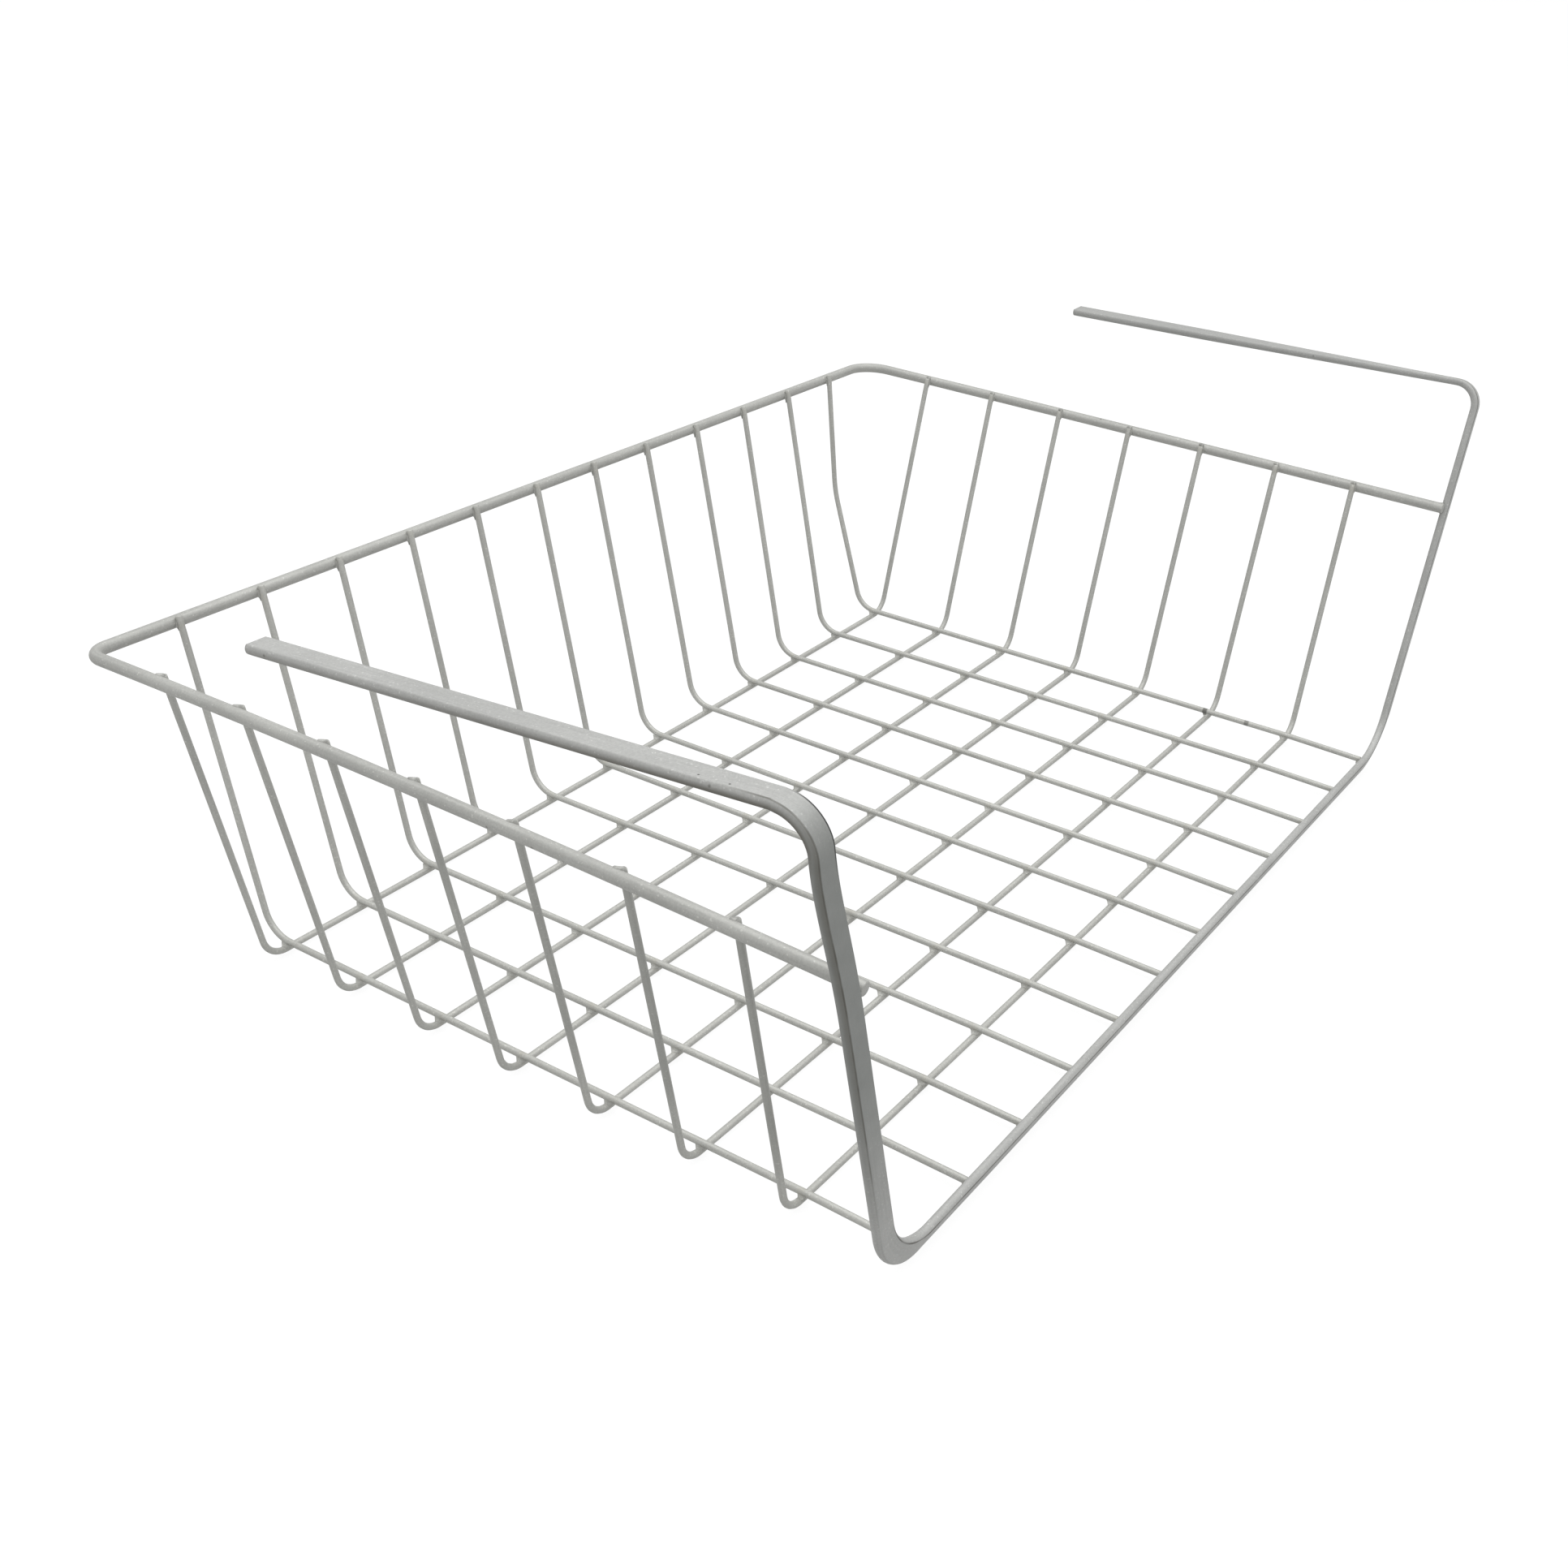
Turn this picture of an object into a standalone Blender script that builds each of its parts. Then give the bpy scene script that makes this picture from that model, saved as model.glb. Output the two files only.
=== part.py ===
"""Under-shelf basket of welded, powder-coated wire. Metres, +Z up, front towards -Y.

One flat bar is bent into both hanging arms, both legs and the sill at the front. A rod makes the
rim. Floor wires run back from the sill and climb the back wall, cross wires lie under them and
climb the side walls, and every wall wire ends on the inner side of the rim. The shelf board goes
into the slot between the arms and the rim. Y is measured from the sill here, and the empty
called basket moves everything so that the origin lies under the middle of the whole.
"""

import math

import bmesh
import bpy
from mathutils import Vector

# Stock, and the gap left at each welded joint
WIRE = 0.0021
ROD = 0.0038
BAR_WIDTH = 0.0072
BAR_THICKNESS = 0.0026
BAR_EDGE_RADIUS = 0.0008
JOINT_GAP = 0.0003

# Floor wires, counted from the left, and cross wires, counted from the back
FLOOR_WIRES = 12
FLOOR_WIRE_PITCH = 0.031
FLOOR_WIRE_SPLAY_SHARE = 0.012
FLOOR_WIRE_BEND = 0.010
CROSS_WIRES = 7
CROSS_WIRE_PITCH = 0.0317
CROSS_WIRE_BEND = 0.0085
FRONT_BAY = 0.0333

# The last floor wire has been knocked outwards half way up
KNOCK = 0.005
KNOCK_HEIGHT = 0.052
KNOCK_BEND = 0.06

# Rim, a little out of level and bowed out along its sides, and what the wall wires do at it
RIM_FLARE = 0.026
RIM_SHIFT = 0.0009
LEFT_RIM_FRONT_HEIGHT = 0.0986
LEFT_RIM_BACK_HEIGHT = 0.1018
RIGHT_RIM_FRONT_HEIGHT = 0.0974
RIGHT_RIM_BACK_HEIGHT = 0.1010
LEFT_RIM_BOW = 0.0030
RIGHT_RIM_BOW = 0.0015
LEFT_RIM_ARCH = 0.0040
LEFT_RIM_CORNER_BEND = 0.0095
RIGHT_RIM_CORNER_BEND = 0.012
RIM_END_RECESS = 0.0007
TIP_RISE = 0.0015
LEFT_TIP_LEAN = 0.0030
RIGHT_TIP_LEAN = 0.0010

# Hanger: the legs flare out from the sill, then turn back into the arms
FOOT_MARGIN = 0.0037
LEFT_LEG_FLARE = 0.0409
RIGHT_LEG_FLARE = 0.0396
LEFT_LEG_SETBACK = 0.0029
RIGHT_LEG_SETBACK = 0.0008
LEFT_ELBOW_HEIGHT = 0.1496
RIGHT_ELBOW_HEIGHT = 0.1401
ARM_TIP_HEIGHT = 0.1383
LEFT_ARM_REACH = 0.163
RIGHT_ARM_REACH = 0.167
LEFT_ELBOW_BEND = 0.015
RIGHT_ELBOW_BEND = 0.0085
LEFT_FOOT_BEND = 0.019
RIGHT_FOOT_BEND = 0.022

# Twist of the bar, as the angle by which its inner edge leans forwards
LEFT_FOOT_LEAN = math.radians(7)
SILL_LEAN = math.radians(25)
SILL_TWIST_LENGTH = 0.033
RIGHT_LEG_LEAN = math.radians(10)
RIGHT_ARM_TWIST_LENGTH = 0.1

# Facets
WIRE_BEVEL_STEPS = 3
ROD_BEVEL_STEPS = 5
BEND_STEPS = 6
TWIST_STEPS = 5
BOW_STEPS = 6
EDGE_STEPS = 3


def setback(bend, turn):
    """How far before a corner its rounding starts."""
    return bend * math.tan(turn / 2)


# Places that follow from the sizes, first those of the wire grid
CROSS_WIRE_Z = WIRE / 2
FLOOR_WIRE_Z = CROSS_WIRE_Z + WIRE + JOINT_GAP
LAST_FLOOR_WIRE_X = FLOOR_WIRE_PITCH * (FLOOR_WIRES - 1) / 2
WALL_FLARE = math.atan2(RIM_FLARE, (LEFT_RIM_BACK_HEIGHT + RIGHT_RIM_BACK_HEIGHT) / 2)
WALL_TURN = math.pi / 2 - WALL_FLARE
FLOOR_HALF_WIDTH = LAST_FLOOR_WIRE_X + WIRE / 2 + setback(CROSS_WIRE_BEND, WALL_TURN)
REAR_CROSS_WIRE_Y = FRONT_BAY + CROSS_WIRE_PITCH * (CROSS_WIRES - 1)
FLOOR_DEPTH = REAR_CROSS_WIRE_Y + setback(FLOOR_WIRE_BEND, WALL_TURN)

# Then those of the hanger and the rim
FLAT_HALF_WIDTH = BAR_WIDTH / 2 - BAR_EDGE_RADIUS
FLAT_HALF_THICKNESS = BAR_THICKNESS / 2 - BAR_EDGE_RADIUS
SILL_Z = math.hypot(FLAT_HALF_WIDTH, FLAT_HALF_THICKNESS) + BAR_EDGE_RADIUS
FOOT_HALF_SPAN = FLOOR_HALF_WIDTH + FOOT_MARGIN
LEFT_FOOT = Vector((-FOOT_HALF_SPAN, 0, SILL_Z))
RIGHT_FOOT = Vector((FOOT_HALF_SPAN, 0, SILL_Z))
LEFT_ELBOW = Vector((-FOOT_HALF_SPAN - LEFT_LEG_FLARE, LEFT_LEG_SETBACK, LEFT_ELBOW_HEIGHT))
RIGHT_ELBOW = Vector((FOOT_HALF_SPAN + RIGHT_LEG_FLARE, RIGHT_LEG_SETBACK, RIGHT_ELBOW_HEIGHT))
LEFT_TIP = Vector((LEFT_ELBOW.x, LEFT_ARM_REACH, ARM_TIP_HEIGHT))
RIGHT_TIP = Vector((RIGHT_ELBOW.x, RIGHT_ARM_REACH, ARM_TIP_HEIGHT))
RIM_BACK_Y = FLOOR_DEPTH + RIM_FLARE
RIM_BACK_HALF_SPAN = FLOOR_HALF_WIDTH + RIM_FLARE
TIP_SEAT = (ROD / 2 + WIRE / 2 + JOINT_GAP) / math.cos(WALL_FLARE)


def coating(name):
    """Warm grey metallic powder coat."""
    material = bpy.data.materials.new(name)
    material.use_nodes = True
    shader = material.node_tree.nodes["Principled BSDF"]
    shader.inputs["Base Color"].default_value = (0.42, 0.42, 0.39, 1)
    shader.inputs["Metallic"].default_value = 0.5
    shader.inputs["Roughness"].default_value = 0.5
    return material


def rounded(before, corner, after, bend):
    """Points of the arc that rounds a corner, with the share of the turn done at each."""
    arriving = (corner - before).normalized()
    leaving = (after - corner).normalized()
    turn = arriving.angle(leaving)
    centre = corner + (leaving - arriving).normalized() * (bend / math.cos(turn / 2))
    first = corner - arriving * setback(bend, turn) - centre
    last = corner + leaving * setback(bend, turn) - centre
    shares = [step / BEND_STEPS for step in range(BEND_STEPS + 1)]
    return [(centre + first.slerp(last, share).normalized() * bend, share) for share in shares]


def route(corners, bends):
    """The line through the corners, with each inner corner rounded."""
    points = [corners[0]]
    for before, corner, after, bend in zip(corners, corners[1:], corners[2:], bends):
        points += [point for point, _ in rounded(before, corner, after, bend)]
    return points + [corners[-1]]


def round_stock(name, points, diameter, bevel_steps, place, parent):
    """A bent length of wire or rod, as a bevelled curve whose origin is at the given place."""
    curve = bpy.data.curves.new(name, "CURVE")
    curve.dimensions = "3D"
    curve.bevel_depth = diameter / 2
    curve.bevel_resolution = bevel_steps
    curve.use_fill_caps = True
    spline = curve.splines.new("POLY")
    spline.points.add(len(points) - 1)
    for knot, point in zip(spline.points, points):
        knot.co = (*(point - place), 1)
    curve.materials.append(coating(name + "_coat"))
    piece = bpy.data.objects.new(name, curve)
    piece.location = place
    piece.parent = parent
    bpy.context.scene.collection.objects.link(piece)
    return piece


def bar_section():
    """Half-width and half-thickness offsets round the bar, a flat bar with rounded edges."""
    outline = []
    for quarter, (side, face) in enumerate(((1, 1), (-1, 1), (-1, -1), (1, -1))):
        for step in range(EDGE_STEPS + 1):
            angle = math.pi / 2 * (quarter + step / EDGE_STEPS)
            width = side * FLAT_HALF_WIDTH + BAR_EDGE_RADIUS * math.cos(angle)
            thickness = face * FLAT_HALF_THICKNESS + BAR_EDGE_RADIUS * math.sin(angle)
            outline.append((width, thickness))
    return outline


def bar_knots():
    """Centres of the bar's rings from the left tip to the right tip, each with its lean there."""
    left_flare = math.atan2(LEFT_LEG_FLARE, LEFT_ELBOW_HEIGHT - SILL_Z)
    right_flare = math.atan2(RIGHT_LEG_FLARE, RIGHT_ELBOW_HEIGHT - SILL_Z)

    # The left arm is level, and its elbow takes up the flare of the leg
    knots = [(LEFT_TIP, -left_flare)]
    for point, share in rounded(LEFT_TIP, LEFT_ELBOW, LEFT_FOOT, LEFT_ELBOW_BEND):
        knots.append((point, -left_flare * (1 - share)))

    # The left leg doesn't lean, its foot starts to, and the sill soon has its full lean
    for point, share in rounded(LEFT_ELBOW, LEFT_FOOT, RIGHT_FOOT, LEFT_FOOT_BEND):
        knots.append((point, LEFT_FOOT_LEAN * share))
    sill_start = knots[-1][0]
    for step in range(1, TWIST_STEPS + 1):
        share = step / TWIST_STEPS
        lean = LEFT_FOOT_LEAN + (SILL_LEAN - LEFT_FOOT_LEAN) * share
        knots.append((sill_start + Vector((SILL_TWIST_LENGTH * share, 0, 0)), lean))

    # The right foot takes back more than half of the lean, and the right elbow the rest
    for point, share in rounded(LEFT_FOOT, RIGHT_FOOT, RIGHT_ELBOW, RIGHT_FOOT_BEND):
        knots.append((point, SILL_LEAN + (RIGHT_LEG_LEAN - SILL_LEAN) * share))
    for point, share in rounded(RIGHT_FOOT, RIGHT_ELBOW, RIGHT_TIP, RIGHT_ELBOW_BEND):
        knots.append((point, RIGHT_LEG_LEAN * (1 - share)))

    # The right arm comes level within a part of its length, and stays so to its tip
    arm_start = knots[-1][0]
    along = (RIGHT_TIP - arm_start).normalized() * RIGHT_ARM_TWIST_LENGTH
    for step in range(1, TWIST_STEPS + 1):
        share = step / TWIST_STEPS
        knots.append((arm_start + along * share, -right_flare * share))
    knots.append((RIGHT_TIP, -right_flare))
    return knots


def bar_at(x):
    """Centre and lean of the bar where it passes x, between the legs."""
    knots = bar_knots()
    for (before, lean), (after, next_lean) in zip(knots, knots[1:]):
        if before.x < x <= after.x:
            break
    share = (x - before.x) / (after.x - before.x)
    return before.lerp(after, share), lean + (next_lean - lean) * share


def ring_tangents(centres):
    """Direction of the bar at each ring, half way between the stretches that meet there."""
    ways = [(after - before).normalized() for before, after in zip(centres, centres[1:])]
    inner = [(before + after).normalized() for before, after in zip(ways, ways[1:])]
    return [ways[0]] + inner + [ways[-1]]


def make_hanger_frame(parent):
    """The bar, lofted through its rings, with the section turned by the lean at each."""
    knots = bar_knots()
    tangents = ring_tangents([centre for centre, _ in knots])
    leg = (LEFT_FOOT - LEFT_ELBOW).normalized()
    inward = Vector((-leg.z, 0, leg.x))
    inward = (inward - tangents[0] * inward.dot(tangents[0])).normalized()
    outline = bar_section()
    mesh = bmesh.new()
    rings = []
    for index, (centre, lean) in enumerate(knots):
        tangent = tangents[index]
        if index:
            inward.rotate(tangents[index - 1].rotation_difference(tangent))
        front = tangent.cross(inward)
        across = inward * math.cos(lean) + front * math.sin(lean)
        through = front * math.cos(lean) - inward * math.sin(lean)
        ring = [mesh.verts.new(centre + across * width + through * thick) for width, thick in outline]
        rings.append(ring)
    for ring, following in zip(rings, rings[1:]):
        for side in range(len(outline)):
            beside = (side + 1) % len(outline)
            mesh.faces.new((ring[side], following[side], following[beside], ring[beside]))
    mesh.faces.new(rings[0])
    mesh.faces.new(list(reversed(rings[-1])))
    bmesh.ops.recalc_face_normals(mesh, faces=mesh.faces)
    data = bpy.data.meshes.new("hanger_frame")
    mesh.to_mesh(data)
    mesh.free()
    data.shade_smooth()
    data.set_sharp_from_angle(angle=math.radians(40))
    data.materials.append(coating("hanger_frame_coat"))
    piece = bpy.data.objects.new("hanger_frame", data)
    piece.parent = parent
    bpy.context.scene.collection.objects.link(piece)


def rim_end(side):
    """Front end of the rim: on the inner edge of a leg, just behind the bar's face."""
    foot, elbow, height = LEFT_FOOT, LEFT_ELBOW, LEFT_RIM_FRONT_HEIGHT
    if side > 0:
        foot, elbow, height = RIGHT_FOOT, RIGHT_ELBOW, RIGHT_RIM_FRONT_HEIGHT
    leg = elbow - foot
    on_leg = foot + leg * ((height - foot.z) / leg.z)
    seat = (BAR_WIDTH / 2 + ROD / 2 + JOINT_GAP) / math.cos(math.atan2(abs(leg.x), leg.z))
    face = on_leg.y - BAR_THICKNESS / 2
    return Vector((on_leg.x - side * seat, face + RIM_END_RECESS, height))


def rim_side(side, y):
    """Centre of the rim's rod at the left side (-1) or the right side (1), y behind the sill."""
    end = rim_end(side)
    corner = rim_back(side * RIM_BACK_HALF_SPAN + RIM_SHIFT)
    bow, arch = (LEFT_RIM_BOW, LEFT_RIM_ARCH) if side < 0 else (RIGHT_RIM_BOW, 0)
    share = (y - end.y) / (corner.y - end.y)
    return end.lerp(corner, share) + Vector((side * bow, 0, arch)) * 4 * share * (1 - share)


def rim_back(x):
    """Centre of the rim's rod along the back."""
    share = (x + RIM_BACK_HALF_SPAN) / (2 * RIM_BACK_HALF_SPAN)
    height = LEFT_RIM_BACK_HEIGHT + (RIGHT_RIM_BACK_HEIGHT - LEFT_RIM_BACK_HEIGHT) * share
    return Vector((x, RIM_BACK_Y, height))


def make_rim(parent):
    """The rod round the top, open at the front."""
    bends = (LEFT_RIM_CORNER_BEND, RIGHT_RIM_CORNER_BEND)
    sides = []
    for side, bend in zip((-1, 1), bends):
        front = rim_end(side).y
        length = RIM_BACK_Y - 2 * bend - front
        sides.append([rim_side(side, front + length * step / BOW_STEPS) for step in range(BOW_STEPS + 1)])
    left, right = sides
    corners = [rim_back(RIM_SHIFT - RIM_BACK_HALF_SPAN), rim_back(RIM_SHIFT + RIM_BACK_HALF_SPAN)]
    points = left[:-1] + route([left[-1], *corners, right[-1]], bends) + right[-2::-1]
    round_stock("rim_wire", points, ROD, ROD_BEVEL_STEPS, rim_back(0), parent)


def wall_tip(corner, seat):
    """End of a wall wire, just above the place where it lies against the rim."""
    way = (seat - corner).normalized()
    return seat + way * (TIP_RISE / way.z)


def sill_back(x):
    """How far back a floor wire ends, clear of the back of the leaning bar."""
    centre, lean = bar_at(x)
    below = centre.z - (FLOOR_WIRE_Z - WIRE / 2)
    return centre.y + BAR_THICKNESS / 2 / math.cos(lean) + below * math.tan(lean) + JOINT_GAP


def make_floor_wire(index, parent):
    """A wire from the sill along the floor and up the back wall, fanned out at the top."""
    x = (index - (FLOOR_WIRES - 1) / 2) * FLOOR_WIRE_PITCH
    front = Vector((x, sill_back(x), FLOOR_WIRE_Z))
    corner = Vector((x, FLOOR_DEPTH, FLOOR_WIRE_Z))
    seat = rim_back(x * (1 + FLOOR_WIRE_SPLAY_SHARE)) - Vector((0, TIP_SEAT, 0))
    corners = [front, corner, wall_tip(corner, seat)]
    bends = [FLOOR_WIRE_BEND]
    if index == FLOOR_WIRES - 1:
        knocked = corner.lerp(seat, KNOCK_HEIGHT / seat.z) + Vector((0, KNOCK, 0))
        corners = [front, corner, knocked, wall_tip(knocked, seat)]
        bends = [FLOOR_WIRE_BEND, KNOCK_BEND]
    name = f"floor_wire_{index + 1:02d}"
    place = Vector((x, 0, FLOOR_WIRE_Z))
    round_stock(name, route(corners, bends), WIRE, WIRE_BEVEL_STEPS, place, parent)


def make_cross_wire(index, parent):
    """A wire under the floor wires and up both side walls, its tips leaning back."""
    y = REAR_CROSS_WIRE_Y - index * CROSS_WIRE_PITCH
    corners = []
    for side, lean in ((-1, LEFT_TIP_LEAN), (1, RIGHT_TIP_LEAN)):
        corner = Vector((side * FLOOR_HALF_WIDTH, y, CROSS_WIRE_Z))
        seat = rim_side(side, y + lean) - Vector((side * TIP_SEAT, 0, 0))
        corners += [wall_tip(corner, seat), corner][::-side]
    name = f"cross_wire_{index + 1}"
    place = Vector((0, y, CROSS_WIRE_Z))
    bends = (CROSS_WIRE_BEND, CROSS_WIRE_BEND)
    round_stock(name, route(corners, bends), WIRE, WIRE_BEVEL_STEPS, place, parent)


for old in list(bpy.data.objects):
    bpy.data.objects.remove(old, do_unlink=True)

basket = bpy.data.objects.new("basket", None)
sill_front = FLAT_HALF_WIDTH * math.sin(SILL_LEAN) + FLAT_HALF_THICKNESS * math.cos(SILL_LEAN)
basket.location.x = -(LEFT_ELBOW.x + RIGHT_ELBOW.x) / 2
basket.location.y = (sill_front + BAR_EDGE_RADIUS - RIM_BACK_Y - ROD / 2) / 2
bpy.context.scene.collection.objects.link(basket)

make_hanger_frame(basket)
make_rim(basket)
for wire in range(FLOOR_WIRES):
    make_floor_wire(wire, basket)
for wire in range(CROSS_WIRES):
    make_cross_wire(wire, basket)
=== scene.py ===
"""Under-shelf basket of welded, powder-coated wire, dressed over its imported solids.

The sections follow the basket as it is put together: the flat bar, the rim, the cross wires, the
floor wires, then the welds that join them, and last the floor, the lamp and the camera.
"""

import math
import random

import bmesh
import bpy
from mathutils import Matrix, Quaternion, Vector, noise


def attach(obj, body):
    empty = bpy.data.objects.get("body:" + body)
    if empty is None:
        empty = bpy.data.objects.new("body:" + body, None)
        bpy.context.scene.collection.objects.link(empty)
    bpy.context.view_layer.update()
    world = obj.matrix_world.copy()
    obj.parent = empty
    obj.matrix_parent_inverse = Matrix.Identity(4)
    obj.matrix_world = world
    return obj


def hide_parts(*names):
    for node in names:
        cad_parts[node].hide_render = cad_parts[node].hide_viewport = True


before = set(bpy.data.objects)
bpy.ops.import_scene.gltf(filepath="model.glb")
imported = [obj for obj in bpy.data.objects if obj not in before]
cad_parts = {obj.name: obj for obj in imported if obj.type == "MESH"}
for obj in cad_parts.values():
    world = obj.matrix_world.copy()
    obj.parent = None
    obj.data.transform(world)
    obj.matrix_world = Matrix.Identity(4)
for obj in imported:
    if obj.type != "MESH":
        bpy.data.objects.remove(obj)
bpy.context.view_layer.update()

# Flat bar. One length of mild steel flat with rolled edges, bent into both arms, elbows and legs
# and the sill at the front. It twists a little as it goes, so that the sill leans to the front.
bar_width = 0.0072
bar_thickness = 0.0026
bar_side_turn = math.radians(50)
bar_side_steps = 8
bar_edge_softness = 0.00012
bar_end_rounding = 0.0006
bar_spacing = 0.002
crease_angle = math.radians(50)
left_tip = Vector((-0.2221, 0.0346, 0.1387))
left_elbow = Vector((-0.2221, -0.1253, 0.1496))
left_foot = Vector((-0.1816, -0.1287, 0.0042))
right_foot = Vector((0.1825, -0.1281, 0.0041))
right_elbow = Vector((0.2221, -0.1279, 0.1398))
right_tip = Vector((0.2221, 0.0386, 0.1380))
left_elbow_bend = 0.0098
right_elbow_bend = 0.0085
left_foot_bend = 0.021
right_foot_bend = 0.022
left_arm_lean = math.radians(-15.7)
left_foot_lean = math.radians(22)
sill_lean = math.radians(21.5)
sill_twist = 0.033
right_foot_lean = math.radians(21)
right_leg_lean = math.radians(10)
right_arm_lean = math.radians(-16.2)
right_arm_twist = 0.1

# The left leg stands out a little below the elbow. The gain brings the curve's peak to 1
leg_kink_height = 0.085
leg_kink_outward = 0.0020
leg_kink_depth = 0.01
leg_kink_gain = 9.5


def rounded(before, corner, after, bend, steps=14):
    """Points of the arc that rounds a corner, with the share of the turn done at each."""
    arriving = (corner - before).normalized()
    leaving = (after - corner).normalized()
    turn = arriving.angle(leaving)
    reach = bend * math.tan(turn / 2)
    centre = corner + (leaving - arriving).normalized() * (bend / math.cos(turn / 2))
    first = corner - arriving * reach - centre
    last = corner + leaving * reach - centre
    shares = [step / steps for step in range(steps + 1)]
    return [(centre + first.slerp(last, share).normalized() * bend, share) for share in shares]


def ways_along(line):
    """Direction of the stock at each point of its line."""
    ways = [(after - before).normalized() for before, after in zip(line, line[1:])]
    inner = [(before + after).normalized() for before, after in zip(ways, ways[1:])]
    return [ways[0]] + inner + [ways[-1]]


def bar_stations():
    """Centres of the bar from the left tip to the right tip, with the lean at each."""
    stations = [(left_tip, left_arm_lean)]
    for point, share in rounded(left_tip, left_elbow, left_foot, left_elbow_bend):
        stations.append((point, left_arm_lean * (1 - share)))
    for point, share in rounded(left_elbow, left_foot, right_foot, left_foot_bend):
        stations.append((point, left_foot_lean * share))
    stations.append((stations[-1][0] + Vector((sill_twist, 0, 0)), sill_lean))
    for point, share in rounded(left_foot, right_foot, right_elbow, right_foot_bend):
        stations.append((point, right_foot_lean + (right_leg_lean - right_foot_lean) * share))
    for point, share in rounded(right_foot, right_elbow, right_tip, right_elbow_bend):
        stations.append((point, right_leg_lean * (1 - share)))
    arm_start = stations[-1][0]
    along = (right_tip - arm_start).normalized() * right_arm_twist
    stations.append((arm_start + along, right_arm_lean))
    stations.append((right_tip, right_arm_lean))
    return stations


def finely(stations, spacing):
    """The same stations with more of them between, so that a twist or a bow runs evenly."""
    fine = [stations[0]]
    for (before, lean), (after, next_lean) in zip(stations, stations[1:]):
        count = max(1, round((after - before).length / spacing))
        for step in range(1, count + 1):
            share = step / count
            fine.append((before.lerp(after, share), lean + (next_lean - lean) * share))
    return fine


def leg_shift(point):
    """Sideways shift of the left leg, most of it just below the elbow."""
    if point.x > left_foot.x or point.y > left_elbow.y + leg_kink_depth or point.z < leg_kink_height:
        return 0.0
    share = min(1.0, (point.z - leg_kink_height) / (left_elbow.z - leg_kink_height))
    return -leg_kink_outward * leg_kink_gain * share ** 3 * (1 - share)


def bar_outline(shrink):
    """Offsets across and through the bar all round it, with flat faces and bulging narrow sides."""
    bulge = bar_thickness / 2 / math.sin(bar_side_turn)
    flat = bar_width / 2 - bulge * (1 - math.cos(bar_side_turn))
    face = flat - bar_edge_softness
    outline = []
    for side in (1, -1):
        for step in range(bar_side_steps + 1):
            angle = bar_side_turn * (2 * step / bar_side_steps - 1)
            across = flat - bulge * math.cos(bar_side_turn) + (bulge - shrink) * math.cos(angle)
            outline.append((side * across, side * (bulge - shrink) * math.sin(angle)))
        outline.append((side * face, side * (bar_thickness / 2 - shrink)))
        outline.append((-side * face, side * (bar_thickness / 2 - shrink)))
    return outline


def eased_ends(length, rounding, steps=4):
    """Pairs of place and shrink that round off the two ends of a length of stock."""
    start = []
    for step in range(steps):
        angle = math.pi / 2 * (1 - step / steps)
        start.append((rounding * (1 - math.sin(angle)), rounding * (1 - math.cos(angle))))
    return start, [(length - place, shrink) for place, shrink in reversed(start)]


def loft(mesh, rings, lays, seams, ends=True):
    """Skins a row of rings. lays holds each point's place on the straight stock, and seams how
    near each ring is to a weld."""
    lay_layer = mesh.verts.layers.float_vector.get("lay") or mesh.verts.layers.float_vector.new("lay")
    seam_layer = mesh.verts.layers.float.get("seam") or mesh.verts.layers.float.new("seam")
    rows = []
    for ring, lay, seam in zip(rings, lays, seams):
        row = []
        for point, place in zip(ring, lay):
            vert = mesh.verts.new(point)
            vert[lay_layer] = place
            vert[seam_layer] = seam
            row.append(vert)
        rows.append(row)
    for row, following in zip(rows, rows[1:]):
        for side in range(len(row)):
            beside = (side + 1) % len(row)
            mesh.faces.new((row[side], row[beside], following[beside], following[side]))
    if not ends:
        return
    for row, turned in ((rows[0], True), (rows[-1], False)):
        middle = mesh.verts.new(sum((vert.co for vert in row), Vector()) / len(row))
        middle[lay_layer] = row[0][lay_layer]
        middle[seam_layer] = row[0][seam_layer]
        for side in range(len(row)):
            pair = (row[side], row[(side + 1) % len(row)])
            mesh.faces.new((*(reversed(pair) if turned else pair), middle))


def piece_of(name, mesh, coat):
    """A smooth-shaded object of the built mesh, in its coat."""
    bmesh.ops.recalc_face_normals(mesh, faces=mesh.faces)
    data = bpy.data.meshes.new(name)
    mesh.to_mesh(data)
    mesh.free()
    data.shade_smooth()
    data.set_sharp_from_angle(angle=crease_angle)
    data.materials.append(coat)
    piece = bpy.data.objects.new(name, data)
    bpy.context.scene.collection.objects.link(piece)
    return piece


def node(tree, kind, **settings):
    """A shader node with its settings, in the material's tree."""
    made = tree.nodes.new("ShaderNode" + kind)
    for setting, value in settings.items():
        setattr(made, setting, value)
    return made


def calculate(tree, operation, first, second, third=None):
    """One step of arithmetic on sockets or numbers."""
    step = node(tree, "Math", operation=operation)
    for socket, value in zip(step.inputs, (first, second, third)):
        if isinstance(value, (int, float)):
            socket.default_value = value
        elif value is not None:
            tree.links.new(value, socket)
    return step.outputs[0]


def span(tree, value, lowest, highest, start, end):
    """Stretches the values between lowest and highest to run from start to end."""
    stretch = node(tree, "MapRange", interpolation_type="SMOOTHSTEP")
    tree.links.new(value, stretch.inputs["Value"])
    stretch.inputs["From Min"].default_value = lowest
    stretch.inputs["From Max"].default_value = highest
    stretch.inputs["To Min"].default_value = start
    stretch.inputs["To Max"].default_value = end
    return stretch.outputs["Result"]


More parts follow.
